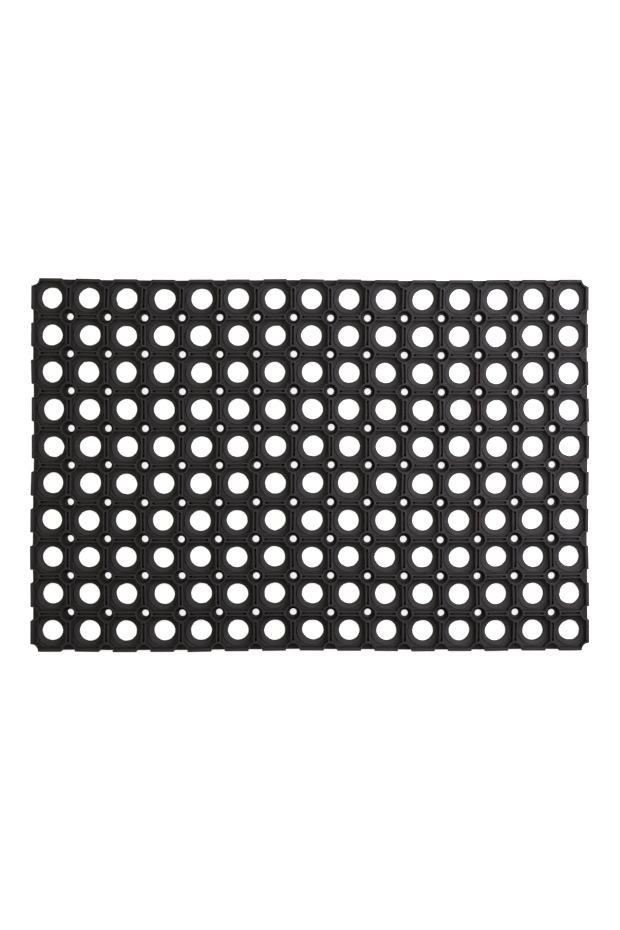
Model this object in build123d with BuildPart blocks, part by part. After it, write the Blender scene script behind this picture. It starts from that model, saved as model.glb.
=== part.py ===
"""A moulded rubber ring door mat, 600 x 400 x 22 mm, with 15 x 10 drain holes.

The mat is a lattice.  Eleven lengthwise bars cross ten rows of cross bars, and a short tube stands
on every crossing.  Each bar carries a pair of thin scraper ribs with a slot between them, so that
ribs and tubes frame one octagonal cell round each drain hole.  A collar, made as four quarters,
lines each drain hole, and round feet under the crossings lift the lattice off the floor.

The frame: +X along the mat, +Y across it, +Z up from the floor, origin under the middle.
"""

import os

from build123d import *

# Driving dimensions, in mm
PITCH = 39.9  # from one drain hole to the next, both ways
COLUMNS = 15  # drain holes along the mat
ROWS = 10  # drain holes across the mat
THICKNESS = 22.0  # floor to the tops of the ribs
BORDER = 0.75  # how far the outer walls stand outside the outermost crossings

FOOT_HEIGHT = 8.0
FOOT_RADIUS = 8.2
FOOT_BORE = 5.5  # radius; the feet are hollow from below, up to the web
WEB_THICKNESS = 4.0
WALL_BASE = 2.0  # outer walls stop short of the floor, so that water runs out

HOLE_RADIUS = 11.0  # drain hole
COLLAR_RADIUS = 16.5  # outside of the collar that lines it
HOLE_DRAFT = 0.5  # how much wider the hole is at its top
COLLAR_BASE = 8.0  # level with the underside of the web
COLLAR_TOP = 13.0
COLLAR_DISH = 0.8  # fall of the collar's top face towards the hole
COLLAR_LIP = 1.0  # chamfer round the hole

TUBE_RADIUS = 8.9
TUBE_WALL = 1.7  # at the rim
TUBE_DRAFT = 1.8  # how much the wall thickens towards its foot
WEEP_RADIUS = 3.5  # small drain hole through the web inside each tube

RIB_WIDTH = 1.9
SLOT_WIDTH = 1.9  # between the two ribs of a pair
SLOT_FLOOR = 18.0
SLOT_END_GAP = 0.8  # from a slot's end to the tube beside it
POCKET_LENGTH = 2.0  # deep pocket at each end of a slot

NOTCH_DEPTH = 0.3  # the outline steps in a little at every crossing on the border
NOTCH_HALF_LENGTH = 7.2

# Worked out from them
WEB_TOP = FOOT_HEIGHT + WEB_THICKNESS
RIB_HEIGHT = THICKNESS - WEB_TOP
CUP_RADIUS = TUBE_RADIUS - TUBE_WALL - TUBE_DRAFT  # inside of a tube where it meets the web
BAR_HALF = PITCH / 2 - HOLE_RADIUS  # half the width of a bar, up to the edges of the holes
PAIR_HALF = SLOT_WIDTH / 2 + RIB_WIDTH  # half the width of a pair of ribs
NOTCH_FACE = BORDER - NOTCH_DEPTH  # seen from the line of the outermost crossings
SLOT_LENGTH = PITCH - 2 * (TUBE_RADIUS + SLOT_END_GAP)
EDGE_X = COLUMNS * PITCH / 2  # line of the outermost crossings at the ends
EDGE_Y = ROWS * PITCH / 2  # and along the sides
CELL_XS = [(i - (COLUMNS - 1) / 2) * PITCH for i in range(COLUMNS)]
CELL_YS = [(j - (ROWS - 1) / 2) * PITCH for j in range(ROWS)]
INNER_XS = [(i - COLUMNS / 2) * PITCH for i in range(1, COLUMNS)]
INNER_YS = [(j - ROWS / 2) * PITCH for j in range(1, ROWS)]
CROSSING_XS = [-EDGE_X, *INNER_XS, EDGE_X]
FAR = 2 * PITCH  # longer than any one cell


def along(xs, y=0.0):
    """Points in a line along X."""
    return [(x, y) for x in xs]


def write(solids, name):
    """Writes one node, which is one solid or a row of separate ones."""
    node = Compound(children=solids) if len(solids) > 1 else solids[0]
    node.label = name
    export_step(node, f"parts/{name}.step")


def copies(solid, spots):
    """One copy of a solid at each (x, y)."""
    return [solid.moved(Location((x, y, 0))) for x, y in spots]


def lengthwise_bar():
    """A bar along X with its ribs and feet, centred on a row of crossings."""
    end = EDGE_X + BORDER
    holes = along(CELL_XS, PITCH / 2) + along(CELL_XS, -PITCH / 2)
    cutter = slot_cutter()
    with BuildPart() as bar:
        with BuildSketch(Plane.XY.offset(FOOT_HEIGHT)):
            Rectangle(2 * end, 2 * BAR_HALF)
            with Locations(*holes):
                Circle(COLLAR_RADIUS, mode=Mode.SUBTRACT)
            with Locations((-end, 0), (end, 0)):
                Rectangle(2 * NOTCH_DEPTH, 2 * NOTCH_HALF_LENGTH, mode=Mode.SUBTRACT)
        extrude(amount=WEB_THICKNESS)
        with BuildSketch():
            with Locations(*along(CROSSING_XS)):
                Circle(FOOT_RADIUS)
            Rectangle(2 * (EDGE_X + NOTCH_FACE), 2 * FOOT_RADIUS, mode=Mode.INTERSECT)
        extrude(amount=FOOT_HEIGHT)
        with BuildSketch():
            with Locations(*along(INNER_XS)):
                Circle(WEEP_RADIUS)
        extrude(amount=WEB_TOP, mode=Mode.SUBTRACT)
        with BuildSketch():
            with Locations(*along(INNER_XS)):
                Circle(FOOT_BORE)
        extrude(amount=FOOT_HEIGHT, mode=Mode.SUBTRACT)
        with BuildSketch(Plane.XY.offset(WEB_TOP)):
            Rectangle(2 * EDGE_X, 2 * PAIR_HALF)
            with Locations(*along(CROSSING_XS)):
                Circle(TUBE_RADIUS, mode=Mode.SUBTRACT)
        extrude(amount=RIB_HEIGHT)
        with Locations(*along(CELL_XS)):
            add(cutter, mode=Mode.SUBTRACT)
    return bar.part


def slot_cutter():
    """What is cut from a pair of ribs along X: the slot, with a deeper pocket at both ends."""
    reach = (SLOT_LENGTH - POCKET_LENGTH) / 2
    with BuildPart() as cutter:
        with BuildSketch(Plane.XY.offset(SLOT_FLOOR)):
            Rectangle(SLOT_LENGTH, SLOT_WIDTH)
        extrude(amount=RIB_HEIGHT)
        with BuildSketch(Plane.XY.offset(WEB_TOP)):
            with Locations((-reach, 0), (reach, 0)):
                Rectangle(POCKET_LENGTH, SLOT_WIDTH)
        extrude(amount=RIB_HEIGHT)
    return cutter.part


def half_disc(radius):
    """In the sketch in hand, adds a disc cut off at the notch face, on the inner side (-Y)."""
    Circle(radius)
    with Locations((0, NOTCH_FACE + FAR / 2)):
        Rectangle(FAR, FAR, mode=Mode.SUBTRACT)


def side_bar():
    """The bar along the +Y side: its outer wall takes the place of the rib pair."""
    end = EDGE_X + BORDER
    with BuildSketch(mode=Mode.PRIVATE) as tube_outline:
        half_disc(TUBE_RADIUS)
    with BuildSketch(mode=Mode.PRIVATE) as foot_outline:
        half_disc(FOOT_RADIUS)
    with BuildPart() as bar:
        with BuildSketch(Plane.XY.offset(FOOT_HEIGHT)):
            with Locations((0, BORDER)):
                Rectangle(2 * end, BORDER + BAR_HALF, align=(Align.CENTER, Align.MAX))
            with Locations(*along(CELL_XS, -PITCH / 2)):
                Circle(COLLAR_RADIUS, mode=Mode.SUBTRACT)
            with Locations(*along(CROSSING_XS, BORDER)):
                Rectangle(2 * NOTCH_HALF_LENGTH, 2 * NOTCH_DEPTH, mode=Mode.SUBTRACT)
            with Locations((-end, 0), (end, 0)):
                Rectangle(2 * NOTCH_DEPTH, 2 * NOTCH_HALF_LENGTH, mode=Mode.SUBTRACT)
            with Locations((-EDGE_X, 0), (EDGE_X, 0)):
                Circle(TUBE_RADIUS, mode=Mode.SUBTRACT)
        extrude(amount=WEB_THICKNESS)
        with BuildSketch():
            with Locations(*along(INNER_XS)):
                add(foot_outline.sketch)
        extrude(amount=FOOT_HEIGHT)
        with BuildSketch(Plane.XY.offset(WALL_BASE)):
            with Locations(*along(CELL_XS, BORDER)):
                wall = BORDER + PAIR_HALF
                Rectangle(PITCH - 2 * BAR_HALF, wall, align=(Align.CENTER, Align.MAX))
        extrude(amount=FOOT_HEIGHT - WALL_BASE)
        with BuildSketch(Plane.XY.offset(WEB_TOP)):
            with Locations((0, BORDER)):
                wall = BORDER + PAIR_HALF
                Rectangle(2 * EDGE_X, wall, align=(Align.CENTER, Align.MAX))
            with Locations(*along(CROSSING_XS, BORDER)):
                Rectangle(2 * NOTCH_HALF_LENGTH, 2 * NOTCH_DEPTH, mode=Mode.SUBTRACT)
            with Locations(*along(INNER_XS)):
                add(tube_outline.sketch, mode=Mode.SUBTRACT)
            with Locations((-EDGE_X, 0), (EDGE_X, 0)):
                Circle(TUBE_RADIUS, mode=Mode.SUBTRACT)
        extrude(amount=RIB_HEIGHT)
    return bar.part


def cross_bar():
    """A bar along Y between two rows of crossings, centred between the holes beside it."""
    cutter = slot_cutter().rotate(Axis.Z, 90)
    with BuildPart() as bar:
        with BuildSketch(Plane.XY.offset(FOOT_HEIGHT)):
            Rectangle(2 * BAR_HALF, PITCH - 2 * BAR_HALF)
            with Locations((-PITCH / 2, 0), (PITCH / 2, 0)):
                Circle(COLLAR_RADIUS, mode=Mode.SUBTRACT)
        extrude(amount=WEB_THICKNESS)
        with BuildSketch(Plane.XY.offset(WEB_TOP)):
            Rectangle(2 * PAIR_HALF, PITCH)
            with Locations((0, -PITCH / 2), (0, PITCH / 2)):
                Circle(TUBE_RADIUS, mode=Mode.SUBTRACT)
        extrude(amount=RIB_HEIGHT)
        add(cutter, mode=Mode.SUBTRACT)
    return bar.part


def end_bar():
    """The cross bar at the +X end, with the outer wall in place of the rib pair."""
    with BuildSketch(mode=Mode.PRIVATE) as tube_outline:
        Circle(TUBE_RADIUS)
        with Locations((NOTCH_FACE + FAR / 2, 0)):
            Rectangle(FAR, FAR, mode=Mode.SUBTRACT)
    crossings = [(0, -PITCH / 2), (0, PITCH / 2)]
    with BuildPart() as bar:
        with BuildSketch(Plane.XY.offset(FOOT_HEIGHT)):
            with Locations((BORDER, 0)):
                depth, length = BORDER + BAR_HALF, PITCH - 2 * BAR_HALF
                Rectangle(depth, length, align=(Align.MAX, Align.CENTER))
            with Locations((-PITCH / 2, 0)):
                Circle(COLLAR_RADIUS, mode=Mode.SUBTRACT)
        extrude(amount=WEB_THICKNESS)
        with BuildSketch(Plane.XY.offset(WALL_BASE)):
            with Locations((BORDER, 0)):
                wall, length = BORDER + PAIR_HALF, PITCH - 2 * BAR_HALF
                Rectangle(wall, length, align=(Align.MAX, Align.CENTER))
        extrude(amount=FOOT_HEIGHT - WALL_BASE)
        with BuildSketch(Plane.XY.offset(WEB_TOP)):
            with Locations((BORDER, 0)):
                length = PITCH - 2 * NOTCH_HALF_LENGTH
                Rectangle(BORDER + PAIR_HALF, length, align=(Align.MAX, Align.CENTER))
            with Locations(*crossings):
                add(tube_outline.sketch, mode=Mode.SUBTRACT)
        extrude(amount=RIB_HEIGHT)
    return bar.part


def collar_quarter():
    """A quarter of the ring that lines one drain hole, from +X round to +Y, with a dished top."""
    rim = COLLAR_TOP - COLLAR_DISH
    with BuildPart() as ring:
        with BuildSketch(Plane.XZ):
            Polygon(
                (HOLE_RADIUS, COLLAR_BASE),
                (COLLAR_RADIUS, COLLAR_BASE),
                (COLLAR_RADIUS, COLLAR_TOP),
                (HOLE_RADIUS + HOLE_DRAFT + COLLAR_LIP, rim),
                (HOLE_RADIUS + HOLE_DRAFT, rim - COLLAR_LIP),
                align=None,
            )
        revolve(axis=Axis.Z, revolution_arc=90)
    return ring.part


def tube(quarter=False, half=False):
    """The tube on a crossing, cut off at the notch faces where it stands on the +Y or +X border."""
    base = WALL_BASE if quarter else WEB_TOP
    with BuildPart() as ring:
        with BuildSketch(Plane.XZ):
            Polygon(
                (CUP_RADIUS, base),
                (TUBE_RADIUS, base),
                (TUBE_RADIUS, THICKNESS),
                (TUBE_RADIUS - TUBE_WALL, THICKNESS),
                align=None,
            )
        revolve(axis=Axis.Z)
        if half or quarter:
            with BuildSketch():
                with Locations((0, NOTCH_FACE + FAR / 2)):
                    Rectangle(FAR, FAR)
                if quarter:
                    with Locations((NOTCH_FACE + FAR / 2, 0)):
                        Rectangle(FAR, FAR)
            extrude(amount=THICKNESS, mode=Mode.SUBTRACT)
    return ring.part


def build_bars():
    """The eleven lengthwise bars, from the -Y side to the +Y side."""
    side, inner = side_bar(), lengthwise_bar()
    turned = side.rotate(Axis.Z, 180)
    write(copies(turned, [(0, -EDGE_Y)]), "side_bar_front")
    for n, y in enumerate(INNER_YS, start=1):
        write(copies(inner, [(0, y)]), f"lengthwise_bar_{n:02d}")
    write(copies(side, [(0, EDGE_Y)]), "side_bar_back")


def build_cross_bars():
    """Ten rows of inner cross bars, and the end bars at both ends."""
    inner, right = cross_bar(), end_bar()
    left = right.rotate(Axis.Z, 180)
    for n, y in enumerate(CELL_YS, start=1):
        write(copies(inner, along(INNER_XS, y)), f"cross_bars_row_{n:02d}")
    write(copies(left, [(-EDGE_X, y) for y in CELL_YS]), "end_bars_left")
    write(copies(right, [(EDGE_X, y) for y in CELL_YS]), "end_bars_right")


def build_collars():
    """One row of drain hole collars for each row of cells, in quarters that meet on the diagonals."""
    quarters = [collar_quarter().rotate(Axis.Z, turn) for turn in (45, 135, 225, 315)]
    for n, y in enumerate(CELL_YS, start=1):
        row = [copies(quarter, along(CELL_XS, y)) for quarter in quarters]
        write(sum(row, []), f"hole_collars_row_{n:02d}")


def build_tubes():
    """The whole tubes in nine rows, the half tubes round the border, and a quarter at each corner."""
    whole, half, quarter = tube(), tube(half=True), tube(quarter=True)
    for n, y in enumerate(INNER_YS, start=1):
        write(copies(whole, along(INNER_XS, y)), f"crossing_tubes_row_{n:02d}")
    borders = {
        "back": (0, along(INNER_XS, EDGE_Y)),
        "left": (90, [(-EDGE_X, y) for y in INNER_YS]),
        "front": (180, along(INNER_XS, -EDGE_Y)),
        "right": (270, [(EDGE_X, y) for y in INNER_YS]),
    }
    for name, (turn, spots) in borders.items():
        write(copies(half.rotate(Axis.Z, turn), spots), f"half_tubes_{name}")
    corners = [(EDGE_X, EDGE_Y), (-EDGE_X, EDGE_Y), (-EDGE_X, -EDGE_Y), (EDGE_X, -EDGE_Y)]
    pieces = [
        copies(quarter.rotate(Axis.Z, 90 * n), [spot])[0] for n, spot in enumerate(corners)
    ]
    write(pieces, "corner_tubes")


os.makedirs("parts", exist_ok=True)
build_bars()
build_cross_bars()
build_collars()
build_tubes()
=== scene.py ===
"""The looks of the rubber ring door mat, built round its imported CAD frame.

Sizes are in millimetres until a piece is made, and then in metres, in the frame of the CAD part:
+X along the mat, +Y across it, +Z up from the floor.
"""

import math

import bpy
import numpy as np
from mathutils import Matrix, Vector


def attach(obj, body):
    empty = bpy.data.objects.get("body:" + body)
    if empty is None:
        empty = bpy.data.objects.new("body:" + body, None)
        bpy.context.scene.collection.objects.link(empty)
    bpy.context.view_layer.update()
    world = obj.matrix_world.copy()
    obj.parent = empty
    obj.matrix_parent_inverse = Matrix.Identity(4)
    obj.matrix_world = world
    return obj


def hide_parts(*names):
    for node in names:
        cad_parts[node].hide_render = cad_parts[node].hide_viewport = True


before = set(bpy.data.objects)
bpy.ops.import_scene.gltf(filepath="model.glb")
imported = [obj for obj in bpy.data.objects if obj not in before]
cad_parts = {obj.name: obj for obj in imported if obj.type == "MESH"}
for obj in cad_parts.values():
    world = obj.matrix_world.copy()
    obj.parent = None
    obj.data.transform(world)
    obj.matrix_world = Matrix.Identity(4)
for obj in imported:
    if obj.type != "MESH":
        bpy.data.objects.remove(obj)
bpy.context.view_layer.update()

# the lattice of cells, and the heights of its web
PITCH = 39.9
HALF = PITCH / 2
COLUMNS, ROWS = 15, 10
EDGE_X, EDGE_Y = COLUMNS * HALF, ROWS * HALF
TOP = 22.0
WEB = (8.0, 11.8)
INNER_WEB = (WEB[0] + 0.02, WEB[1] - 0.02)
WEB_BORE = 7.9
# the border: how far walls and notches stand out from the outer crossings' middles
BORDER, NOTCH_FACE, NOTCH_HALF = 0.75, 0.45, 7.2
PAIR_HALF = 2.85
# radii of the drain holes, of the collars' seats and of the tubes, their bores and small holes
HOLE = 11.0
BAR_HALF = HALF - HOLE
COLLAR = 16.0
BITE = math.degrees(math.asin((HALF - BAR_HALF) / COLLAR))
LAP = 0.4
TUBE, BORE, WEEP = 8.9, 7.4, 3.5
# the feet, the outer walls and the skirts under them
FOOT, FOOT_BORE, FOOT_SHIFT = 8.2, 5.5, 0.4
WALL_BASE, SKIRT_TOP, WALL_TOP = 2.0, 9.0, TOP - 0.05
CORNER_CUT = 7.4
SLOT_END = 21.0
SHARP_ANGLE = 38
FLOOR_RADIUS = 14
CELL_XS = [(i - (COLUMNS - 1) / 2) * PITCH for i in range(COLUMNS)]
CELL_YS = [(j - (ROWS - 1) / 2) * PITCH for j in range(ROWS)]
INNER_XS = [(i - COLUMNS / 2) * PITCH for i in range(1, COLUMNS)]
INNER_YS = [(j - ROWS / 2) * PITCH for j in range(1, ROWS)]
# colours of the rubber, whose side walls are painted blacker as painted shade, and of what is seen
# behind the floor
TOP_DARK, TOP_PALE = (0.0105, 0.0093, 0.0096, 1), (0.0190, 0.0170, 0.0176, 1)
PAINTED_SHADE_WALL, WALL_ROUGHNESS = (0.0045, 0.0042, 0.0044, 1), 0.98
BACKDROP, SKY_STRENGTH = (0.878, 0.873, 0.878, 1), 1.06
chance = np.random.default_rng(11)


# ---------------------------------------------------------------- shapes
def fillet(corners, steps=3):
    """A closed outline from (x, y, radius) corners, each radius rounded off."""
    out = []
    for n, (x, y, r) in enumerate(corners):
        here = np.array((x, y), float)
        if r == 0:
            out.append(here)
            continue
        before = np.array(corners[n - 1][:2], float) - here
        after = np.array(corners[(n + 1) % len(corners)][:2], float) - here
        a = here + before / np.linalg.norm(before) * r
        b = here + after / np.linalg.norm(after) * r
        for k in range(steps + 1):
            t = k / steps
            out.append(a * (1 - t) ** 2 + here * 2 * t * (1 - t) + b * t**2)
    return np.array(out)


def quads(rows, columns, closed_rows=False, closed_columns=False):
    """Faces of a grid of points stored row after row."""
    faces = []
    for i in range(rows if closed_rows else rows - 1):
        for j in range(columns if closed_columns else columns - 1):
            i2, j2 = (i + 1) % rows, (j + 1) % columns
            faces.append((i * columns + j, i * columns + j2, i2 * columns + j2, i2 * columns + j))
    return faces


def lathe(profile, start=0.0, end=360.0, segments=48):
    """A closed (radius, z) profile, anticlockwise, turned about Z."""
    full = abs(end - start - 360) < 1e-6
    count = segments if full else segments + 1
    angles = np.radians(start + (end - start) * np.arange(count) / segments)
    r, z = profile[:, 0], profile[:, 1]
    rings = [np.stack((r * math.cos(a), r * math.sin(a), z), axis=1) for a in angles]
    faces = [f[::-1] for f in quads(count, len(profile), full, True)]
    if not full:
        last = (count - 1) * len(profile)
        faces.append(tuple(range(len(profile))))
        faces.append(tuple(range(last, last + len(profile)))[::-1])
    return np.concatenate(rings), faces


def inset(outline, d):
    """An anticlockwise outline moved inwards by d."""
    ahead = np.roll(outline, -1, axis=0) - outline
    ahead /= np.maximum(np.linalg.norm(ahead, axis=1), 1e-9)[:, None]
    normal = np.stack((-ahead[:, 1], ahead[:, 0]), axis=1)
    mean = normal + np.roll(normal, 1, axis=0)
    mean /= np.maximum((mean * mean).sum(axis=1), 0.6)[:, None]
    return outline + mean * 2 * d


def slab(outline, low, high, edge=0.35, steps=3):
    """An anticlockwise outline raised from low to high, its upper edge rounded."""
    rings = [(0.0, low), (0.0, high - edge)]
    for k in range(1, steps + 1):
        a = math.pi / 2 * k / steps
        rings.append((edge * (1 - math.cos(a)), high - edge + edge * math.sin(a)))
    n = len(outline)
    points = []
    for d, z in rings:
        flat = inset(outline, d)
        points.append(np.column_stack((flat, np.full(n, z))))
    faces = quads(len(rings), n, False, True)
    faces.append(tuple(range(n))[::-1])
    faces.append(tuple(range(n * (len(rings) - 1), n * len(rings))))
    return np.concatenate(points), faces


def arc(cx, cy, r, start, end, steps=10):
    """Corners without rounding along an arc."""
    angles = np.radians(np.linspace(start, end, steps + 1))
    return [(cx + r * math.cos(a), cy + r * math.sin(a), 0) for a in angles]


def junction_plate():
    """The web round an inner crossing: four bites taken out of it by the collars."""
    low, high = WEB
    count = 160
    angles = (np.arange(count) + 0.5) * 2 * math.pi / count
    reach = []
    for a in angles:
        c, s = abs(math.cos(a)), abs(math.sin(a))
        r = min((HALF + 0.25) / max(c, 1e-9), (BAR_HALF + 0.2) / max(s, 1e-9))
        b = HALF * (c + s)
        root = b * b - (2 * HALF * HALF - COLLAR * COLLAR)
        if root > 0:
            r = min(r, b - math.sqrt(root))
        reach.append(r)
    reach = np.array(reach)
    around = np.stack((np.cos(angles), np.sin(angles)), axis=1)
    bore = np.full(count, WEB_BORE)
    edge = 0.12
    rings = [(bore, low), (reach, low), (reach, high - edge), (reach - edge, high), (bore, high)]
    points = [np.column_stack((around * r[:, None], np.full(count, z))) for r, z in rings]
    return np.concatenate(points), quads(len(rings), count, True, True)


def side_plate():
    """The web round a crossing on the +Y border, notched on its outer side."""
    corners = [(HALF + LAP, BORDER, 0), (NOTCH_HALF, BORDER, 0.8), (NOTCH_HALF, NOTCH_FACE, 0.3)]
    corners += [(-NOTCH_HALF, NOTCH_FACE, 0.3), (-NOTCH_HALF, BORDER, 0.8), (-HALF - LAP, BORDER, 0)]
    corners += [(-HALF - LAP, COLLAR - HALF, 0)] + arc(-HALF, -HALF, COLLAR, 89, BITE)
    corners += arc(HALF, -HALF, COLLAR, 180 - BITE, 91) + [(HALF + LAP, COLLAR - HALF, 0)]
    return slab(fillet(corners), *WEB)


def end_plate():
    """The web of a lengthwise bar round its last crossing, at the +X end."""
    corners = [(BORDER, BAR_HALF, 0)]
    corners += arc(-HALF, HALF, COLLAR, -BITE, -89) + [(-HALF - LAP, HALF - COLLAR, 0)]
    corners += [(-HALF - LAP, COLLAR - HALF, 0)] + arc(-HALF, -HALF, COLLAR, 89, BITE)
    corners += [(BORDER, -BAR_HALF, 0), (BORDER, -NOTCH_HALF, 0.6), (NOTCH_FACE, -NOTCH_HALF, 0.3)]
    corners += [(NOTCH_FACE, NOTCH_HALF, 0.3), (BORDER, NOTCH_HALF, 0.6)]
    return slab(fillet(corners), *WEB)


def end_cell_plate():
    """The web of the +X border beside one cell."""
    corners = [(BORDER, -HOLE - LAP, 0), (BORDER, HOLE + LAP, 0)]
    corners += arc(-HALF, 0, COLLAR, BITE + 2, -BITE - 2, 14)
    return slab(fillet(corners), *INNER_WEB, 0.12)


def corner_plate():
    """The web at the +X +Y corner, cut back round the corner crossing."""
    corners = [(-HALF - LAP, BORDER, 0), (-HALF - LAP, COLLAR - HALF, 0)]
    corners += arc(-HALF, -HALF, COLLAR, 89, BITE)
    corners += [(BORDER, -BAR_HALF - LAP, 0), (BORDER, -WEB_BORE, 0.3)]
    corners += arc(0, 0, 7.8, 268, 182, 8)
    corners += [(-WEB_BORE, BORDER, 0.3)]
    return slab(fillet(corners), *WEB)


def cross_plate():
    """The web of a bar along Y, between two lengthwise bars."""
    corners = arc(HALF, 0, COLLAR, 182 + BITE, 178 - BITE, 14)
    corners += arc(-HALF, 0, COLLAR, BITE + 2, -BITE - 2, 14)
    return slab(fillet(corners), *INNER_WEB, 0.12)


def foot_ring():
    """The hollow round foot and the web inside a tube, with the small hole through it."""
    corners = [(FOOT_BORE, 0, 0.4), (FOOT, 0, 0.5), (FOOT, 8.1, 0), (8.6, 8.1, 0), (8.6, 12.1, 0)]
    corners += [(5.6, 12.1, 0.8), (WEEP, 11.6, 0.4), (WEEP + 0.2, 8.4, 0.3), (FOOT_BORE, 8.0, 0.3)]
    return lathe(fillet(corners, 3))


def half_foot():
    """The foot under a crossing on the +Y border."""
    corners = arc(0, 0, FOOT, 188.1, 351.9, 16)
    return slab(fillet(corners), 0.0, 8.2, 0.2)


def tube_profile(low=11.5):
    """The wall of a tube, with a rounded rim."""
    corners = [(5.3, low, 0), (TUBE, low, 0), (TUBE, TOP, 0.55), (BORE, TOP, 0.7)]
    corners += [(6.3, 15.0, 1.5), (5.3, 12.4, 0.5)]
    return fillet(corners, 4)


def collar_profile():
    """The ring that lines a drain hole, its top dished towards the hole."""
    corners = [(HOLE, 8, 0.3), (16.3, 8, 0.4), (16.4, 9, 0), (16.15, 13.0, 0.6)]
    corners += [(15.0, 12.8, 0.6), (12.4, 12.35, 0.6), (11.35, 12.0, 0.75), (11.05, 9.5, 0)]
    return fillet(corners, 4)


def rough_collar():
    """A collar with the uneven edge that trimmed moulding flash leaves round the hole."""
    ring, faces = lathe(collar_profile(), segments=72)
    a = np.arctan2(ring[:, 1], ring[:, 0])
    inner = np.clip((13.6 - np.hypot(ring[:, 0], ring[:, 1])) / 2.2, 0, 1)
    k = chance.normal(0, 1, 12)
    wave = 0.13 * k[0] * np.cos(2 * a + 3 * k[1]) + 0.10 * k[2] * np.cos(3 * a + 3 * k[3])
    wave += 0.07 * k[4] * np.cos(5 * a + 3 * k[5]) + 0.05 * k[6] * np.cos(9 * a + 3 * k[7])
    gap = (a - 3 * k[8] + math.pi) % (2 * math.pi) - math.pi
    wave += np.clip(0.5 * k[9] - 0.35, 0, 0.6) * np.exp(-((gap / 0.13) ** 2))
    wave -= np.clip(0.4 * k[10] - 0.35, 0, 0.4) * np.exp(-(((gap - 2) / 0.1) ** 2))
    shift = chance.normal(0, 1, 2) * (0.42, 0.22) + (0.5, 0.4)
    scale = 1 + (wave + 0.08 * k[11]) * inner / HOLE
    flat = ring[:, :2] * scale[:, None] + inner[:, None] * shift
    return np.column_stack((flat, ring[:, 2])), faces


def rib_pair():
    """Two ribs along X from tube to tube, with the slot between them and its two end pockets.

    Each station is (distance along, slot floor, half width of the slot). Above SLOT_END it is closed.
    """
    half = [(0, 17.9, 1.0), (3.5, 17.9, 1.02), (7.7, 17.7, 1.02), (8.2, 17.1, 1.02)]
    half += [(8.4, 13.0, 1.05), (9.2, 12.6, 1.18), (9.9, 12.8, 1.0), (10.25, 13.5, 0.62)]
    half += [(10.36, 21.9, 0.5), (11.55, 21.9, 0.5)]
    stations = [(-s, f, w) for s, f, w in half[:0:-1]] + half
    top = TOP - 0.08
    rows = []
    for s, floor, w in stations:
        side = [(3.0, 11.5), (2.86, top - 0.7), (2.72, top - 0.22), (2.38, top)]
        side += [(w + 0.42, top), (w + 0.12, top - 0.16), (w, top - 0.5)]
        side += [(w - 0.04, floor + 0.4), (w - 0.3, floor), (0.0, floor - 0.1)]
        if floor > SLOT_END:
            side = side[:4] + [(y, top) for y, z in side[4:]]
        line = [(s, y, z) for y, z in side] + [(s, -y, z) for y, z in side[-2::-1]]
        rows.append(line)
    columns = len(rows[0])
    points = np.array(rows, float).reshape(-1, 3)
    faces = quads(len(rows), columns)
    faces.append(tuple(range(columns)))
    last = (len(rows) - 1) * columns
    faces.append(tuple(range(last, last + columns))[::-1])
    return points, [f[::-1] for f in faces]


def wall(start, end, low=WEB[0], high=WALL_TOP):
    """The solid border wall of one cell on the +Y side, from x = start to end."""
    corners = [(start, -PAIR_HALF, 0.4), (end, -PAIR_HALF, 0.4), (end, BORDER, 0.8)]
    corners += [(start, BORDER, 0.8)]
    return slab(fillet(corners, 4), low, high, 0.6, 4)


# ---------------------------------------------------------------- pieces
def warped(p):
    """The slight waves that the mat's lattice takes as it lies, which also move its outline."""
    x, y, z = p[:, 0], p[:, 1], p[:, 2]
    lift = 0.6 + 0.4 * z / TOP
    # long and short waves of the lattice
    dx = 0.55 * np.sin(y / 33 + 0.6) + 0.35 * np.sin(x / 41 + y / 95 + 2.1)
    dx += 0.16 * np.sin(y / 11.3 + x / 57) + 0.12 * np.sin(x / 9.1 + 1.0)
    dy = 0.50 * np.sin(x / 47 + 1.9) + 0.30 * np.sin(y / 38 + x / 120 + 0.4)
    dy += 0.15 * np.sin(x / 12.7 + y / 49) + 0.12 * np.sin(y / 9.7 + 2.0)
    # the bow and taper of the outline
    dx += 1.0 - 3.0 * (x / 300) ** 2 + 0.6 * y / 200 - 1.8 * x * y / 60000
    dx += 1.2 * x / 300 * np.clip((296 - abs(x)) / 20, 0, 1)
    dy -= 1.5 * x * y / 60000 + 0.8 * (y / 200) ** 2
    return np.stack((x + dx * lift, y + dy * lift, z), axis=1)


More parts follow.
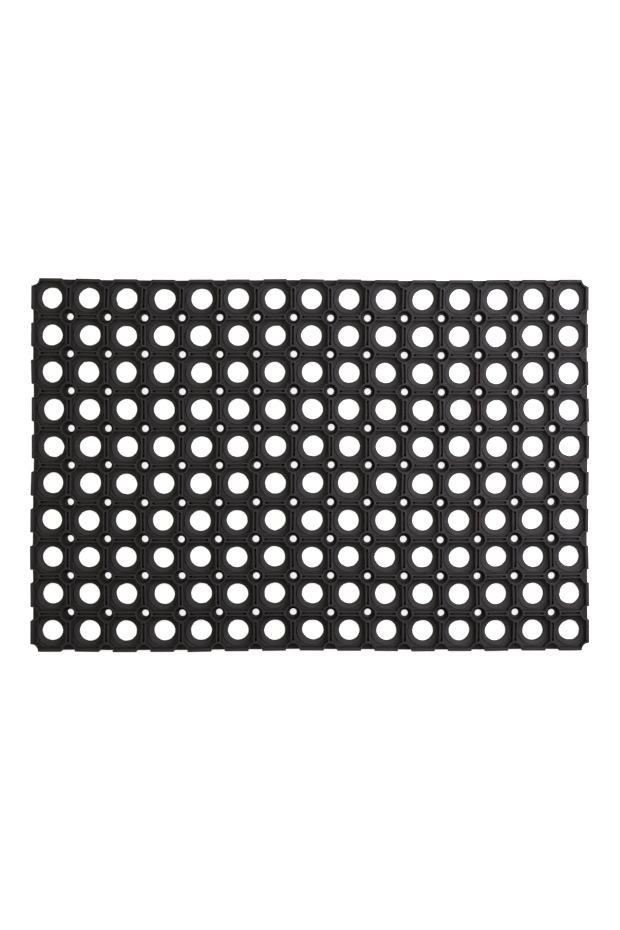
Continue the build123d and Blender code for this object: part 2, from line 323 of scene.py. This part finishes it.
class Piece:
    """One visible piece, gathered from copies of shapes, that stands for one CAD node."""

    def __init__(self, node):
        self.node, self.points, self.faces, self.tones, self.count = node, [], [], [], 0

    def add(self, shape, x=0.0, y=0.0, turn=0.0, loose=0.0, spin=False):
        """A copy turned and moved, and off its place by about loose."""
        points, faces = shape
        off = chance.normal(0, 1, 4) * loose
        a = math.radians(turn + (chance.uniform(0, 360) if spin else off[3] * 4))
        c, s = math.cos(a), math.sin(a)
        px, py = points[:, 0], points[:, 1]
        px, py = px * c - py * s + x + off[0], px * s + py * c + y + off[1]
        self.points.append(np.stack((px, py, points[:, 2]), axis=1))
        self.faces += [tuple(v + self.count for v in f) for f in faces]
        self.tones.append(np.full(len(points), chance.uniform(0, 1)))
        self.count += len(points)

    def make(self):
        """The mesh object, which replaces its node and rides on the mat's one body."""
        mesh = bpy.data.meshes.new(self.node + "_rubber")
        points = warped(np.concatenate(self.points)) / 1000
        mesh.from_pydata(points.tolist(), [], self.faces)
        mesh.update()
        tone = mesh.attributes.new("tone", "FLOAT", "POINT")
        tone.data.foreach_set("value", np.concatenate(self.tones).astype(np.float32))
        mesh.polygons.foreach_set("use_smooth", np.ones(len(mesh.polygons), bool))
        mesh.set_sharp_from_angle(angle=math.radians(SHARP_ANGLE))
        piece = bpy.data.objects.new(self.node + "_rubber", mesh)
        bpy.context.scene.collection.objects.link(piece)
        mesh.materials.append(rubber)
        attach(piece, "root")
        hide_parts(self.node)


# ---------------------------------------------------------------- materials
def nodes_of(name):
    material = bpy.data.materials.new(name)
    material.use_nodes = True
    tree = material.node_tree
    tree.nodes.clear()
    return material, tree


def linked(tree, kind, inputs=(), **settings):
    """A new node with its settings, its plain values and its links."""
    node = tree.nodes.new(kind)
    for key, value in settings.items():
        setattr(node, key, value)
    for key, value in dict(inputs).items():
        if isinstance(value, bpy.types.NodeSocket):
            tree.links.new(value, node.inputs[key])
        else:
            node.inputs[key].default_value = value
    return node


def ranged(tree, value, start, end, low=0.0, high=1.0):
    """value from start to end, as low to high."""
    span = {"Value": value, "From Min": start, "From Max": end, "To Min": low, "To Max": high}
    return linked(tree, "ShaderNodeMapRange", span).outputs["Result"]


def blend(tree, factor, a, b):
    """Colour a where factor is 0 and colour b where it is 1."""
    return linked(tree, "ShaderNodeMix", {0: factor, 6: a, 7: b}, data_type="RGBA").outputs[2]


def make_rubber():
    """Matt black moulded rubber with a fine grain, faint flow marks and a little dust.

    The pale patches of dust lie on the faces that look up. The side walls are rougher, and painted
    blacker than those faces as painted shade.
    """
    material, t = nodes_of("black_rubber")
    coordinates = linked(t, "ShaderNodeTexCoord")
    place = coordinates.outputs["Object"]
    facing = linked(t, "ShaderNodeSeparateXYZ", {"Vector": coordinates.outputs["Normal"]})
    upward = ranged(t, facing.outputs["Z"], 0.2, 0.8)
    tone = linked(t, "ShaderNodeAttribute", attribute_name="tone").outputs["Fac"]
    flow = linked(t, "ShaderNodeTexNoise", {"Vector": place, "Scale": 14.0, "Detail": 4.0})
    blotch = linked(t, "ShaderNodeTexNoise", {"Vector": place, "Scale": 120.0, "Detail": 5.0})
    grain = linked(t, "ShaderNodeTexNoise", {"Vector": place, "Scale": 1500.0, "Detail": 2.0})
    noise = {0: flow.outputs["Fac"], 1: blotch.outputs["Fac"]}
    both = linked(t, "ShaderNodeMath", noise, operation="ADD")
    lot = {0: tone, 1: 0.25, 2: both.outputs[0]}
    mixed = linked(t, "ShaderNodeMath", lot, operation="MULTIPLY_ADD")
    top = blend(t, ranged(t, mixed.outputs[0], 0.75, 1.45), TOP_DARK, TOP_PALE)
    rough = ranged(t, blotch.outputs["Fac"], 0.3, 0.7, 0.62, 0.80)
    dull = linked(t, "ShaderNodeMix", {0: upward, 2: WALL_ROUGHNESS, 3: rough}, data_type="FLOAT")
    relief = {"Height": grain.outputs["Fac"], "Strength": 0.25, "Distance": 0.0002}
    fine = linked(t, "ShaderNodeBump", relief).outputs["Normal"]
    relief = {"Height": blotch.outputs["Fac"], "Strength": 0.35, "Distance": 0.0006, "Normal": fine}
    surface = {
        # the side walls are painted blacker than the faces that look up: painted shade
        "Base Color": blend(t, upward, PAINTED_SHADE_WALL, top),
        "Roughness": dull.outputs[0],
        "IOR": 1.4,
        "Normal": linked(t, "ShaderNodeBump", relief).outputs["Normal"],
    }
    skin = linked(t, "ShaderNodeBsdfPrincipled", surface)
    linked(t, "ShaderNodeOutputMaterial", {"Surface": skin.outputs["BSDF"]})
    return material


def make_paper():
    """The pale floor, bright enough to stay white where the mat stands over it."""
    material, t = nodes_of("pale_floor")
    skin = linked(t, "ShaderNodeBsdfDiffuse", {"Color": (0.6, 0.6, 0.6, 1)})
    glow = linked(t, "ShaderNodeEmission", {"Color": (1, 0.99, 1, 1), "Strength": 0.83})
    both = linked(t, "ShaderNodeAddShader", {0: skin.outputs[0], 1: glow.outputs[0]})
    linked(t, "ShaderNodeOutputMaterial", {"Surface": both.outputs[0]})
    return material


rubber = make_rubber()
paper = make_paper()


# ---------------------------------------------------------------- the mat
def side_bar(node, y, turn):
    """A long border with its plates, walls and half feet."""
    piece = Piece(node)
    flip = -1 if turn else 1
    for x in INNER_XS:
        piece.add(side_plate(), x, y, turn)
        piece.add(half_foot(), x, y, turn, 0.04)
    for i, x in enumerate(CELL_XS):
        low, high = -HALF + NOTCH_HALF, HALF - NOTCH_HALF
        if i == 0 or i == COLUMNS - 1:
            outer = HALF - CORNER_CUT
            low, high = (-outer, high) if (i == 0) == (flip == 1) else (low, outer)
        piece.add(wall(low, high), x, y, turn, 0.05)
        piece.add(wall(-HOLE, HOLE, WALL_BASE, SKIRT_TOP), x, y, turn, 0.03)
    corner = corner_plate()
    mirror = (corner[0] * (-1, 1, 1), [f[::-1] for f in corner[1]])
    piece.add(corner, flip * EDGE_X, y, turn)
    piece.add(mirror, -flip * EDGE_X, y, turn)
    piece.make()


def lengthwise_bar(node, y):
    """An inner bar along X: plates, feet, and a pair of ribs for each cell."""
    piece = Piece(node)
    for x in INNER_XS:
        piece.add(junction, x, y)
        piece.add(foot, x + FOOT_SHIFT, y, 0, 0.2, True)
    for x in CELL_XS:
        piece.add(ribs, x, y, 0, 0.09)
    for flip in (1, -1):
        piece.add(end_plate(), flip * EDGE_X, y, 0 if flip == 1 else 180)
        piece.add(half_foot(), flip * EDGE_X, y, -90 * flip, 0.04)
    piece.make()


def end_bars(node, x, turn):
    """A short border: a plate and a wall for each cell."""
    piece = Piece(node)
    reach = HALF - NOTCH_HALF
    for y in CELL_YS:
        piece.add(end_cell_plate(), x, y, turn)
        piece.add(wall(-reach, reach), x, y, turn - 90, 0.05)
        piece.add(wall(-HOLE, HOLE, WALL_BASE, SKIRT_TOP), x, y, turn - 90, 0.03)
    piece.make()


def row_of(node, shape, spots, loose=0.0):
    """A piece that is the same shape at each (x, y, turn)."""
    piece = Piece(node)
    for x, y, turn in spots:
        piece.add(shape, x, y, turn, loose)
    piece.make()


junction, foot, ribs = junction_plate(), foot_ring(), rib_pair()
side_bar("side_bar_back", EDGE_Y, 0)
side_bar("side_bar_front", -EDGE_Y, 180)
for n, y in enumerate(INNER_YS, start=1):
    lengthwise_bar(f"lengthwise_bar_{n:02d}", y)
    spots = [(x, y, 0) for x in INNER_XS]
    row_of(f"crossing_tubes_row_{n:02d}", lathe(tube_profile()), spots, 0.08)
for n, y in enumerate(CELL_YS, start=1):
    piece = Piece(f"cross_bars_row_{n:02d}")
    for x in INNER_XS:
        piece.add(cross_plate(), x, y)
        piece.add(ribs, x, y, 90, 0.09)
    piece.make()
    piece = Piece(f"hole_collars_row_{n:02d}")
    for x in CELL_XS:
        piece.add(rough_collar(), x, y, 0, 0.06)
    piece.make()
end_bars("end_bars_right", EDGE_X, 0)
end_bars("end_bars_left", -EDGE_X, 180)
half_tube = lathe(tube_profile(), 183, 357, 28)
row_of("half_tubes_back", half_tube, [(x, EDGE_Y, 0) for x in INNER_XS], 0.04)
row_of("half_tubes_front", half_tube, [(x, -EDGE_Y, 180) for x in INNER_XS], 0.04)
row_of("half_tubes_left", half_tube, [(-EDGE_X, y, 90) for y in INNER_YS], 0.04)
row_of("half_tubes_right", half_tube, [(EDGE_X, y, 270) for y in INNER_YS], 0.04)
corners = [(EDGE_X, EDGE_Y, 0), (-EDGE_X, EDGE_Y, 90)]
corners += [(-EDGE_X, -EDGE_Y, 180), (EDGE_X, -EDGE_Y, 270)]
row_of("corner_tubes", lathe(tube_profile(WALL_BASE), 182, 268, 16), corners)


# ---------------------------------------------------------------- floor, light and camera
def make_floor():
    """A wide round floor at z = 0."""
    count = 64
    angles = np.arange(count) * 2 * math.pi / count
    rim = [(FLOOR_RADIUS * math.cos(a), FLOOR_RADIUS * math.sin(a), 0.0) for a in angles]
    mesh = bpy.data.meshes.new("floor")
    mesh.from_pydata(rim, [], [tuple(range(count))])
    mesh.materials.append(paper)
    floor = bpy.data.objects.new("floor", mesh)
    bpy.context.scene.collection.objects.link(floor)
    return floor


def make_light(name, place, size, power, colour):
    """A soft square light aimed at the mat."""
    data = bpy.data.lights.new(name, "AREA")
    data.size, data.energy, data.color = size, power, colour
    light = bpy.data.objects.new(name, data)
    bpy.context.scene.collection.objects.link(light)
    light.location, light.visible_camera = place, False
    light.rotation_mode = "QUATERNION"
    light.rotation_quaternion = (-Vector(place)).to_track_quat("-Z", "Y")


def make_camera(place, target, lens):
    """A camera above the mat, held so that +Y is up in its picture."""
    data = bpy.data.cameras.new("camera")
    data.sensor_width, data.lens = 36.0, lens
    camera = bpy.data.objects.new("camera", data)
    bpy.context.scene.collection.objects.link(camera)
    back = (Vector(place) - Vector(target)).normalized()
    right = Vector((0, 1, 0)).cross(back).normalized()
    turn = Matrix((right, back.cross(right), back)).transposed()
    camera.location = place
    camera.rotation_mode = "QUATERNION"
    camera.rotation_quaternion = turn.to_quaternion()
    bpy.context.scene.camera = camera


def make_world():
    """A dim sky that is brightest overhead. The camera sees a pale backdrop in its place."""
    world = bpy.data.worlds.new("pale")
    world.use_nodes = True
    sky = world.node_tree
    around = linked(sky, "ShaderNodeTexCoord").outputs["Generated"]
    up = linked(sky, "ShaderNodeSeparateXYZ", {"Vector": around})
    level = linked(sky, "ShaderNodeValToRGB", {"Fac": up.outputs["Z"]})
    stops = level.color_ramp.elements
    stops[0].position, stops[0].color = 0.0, (0.02, 0.02, 0.02, 1)
    stops[1].position, stops[1].color = 1.0, (0.4, 0.4, 0.385, 1)
    for place, grey in ((0.45, 0.03), (0.75, 0.16)):
        stop = stops.new(place)
        stop.color = (grey, grey, grey * 0.97, 1)
    in_view = linked(sky, "ShaderNodeLightPath").outputs["Is Camera Ray"]
    background = sky.nodes["Background"]
    seen = blend(sky, in_view, level.outputs["Color"], BACKDROP)
    sky.links.new(seen, background.inputs["Color"])
    background.inputs["Strength"].default_value = SKY_STRENGTH
    bpy.context.scene.world = world


floor = make_floor()
make_light("key", (0.45, 0.2, 0.6), 0.6, 9.6, (1.0, 0.93, 1.03))
make_light("fill", (-0.5, 0.1, 1.05), 0.7, 4.1, (1.0, 1.0, 0.74))
make_world()
bpy.context.scene.view_settings.view_transform = "Standard"
make_camera((0.02, 0.06, 1.5), (-0.0009, 0.0007, 0.022), 53.29)
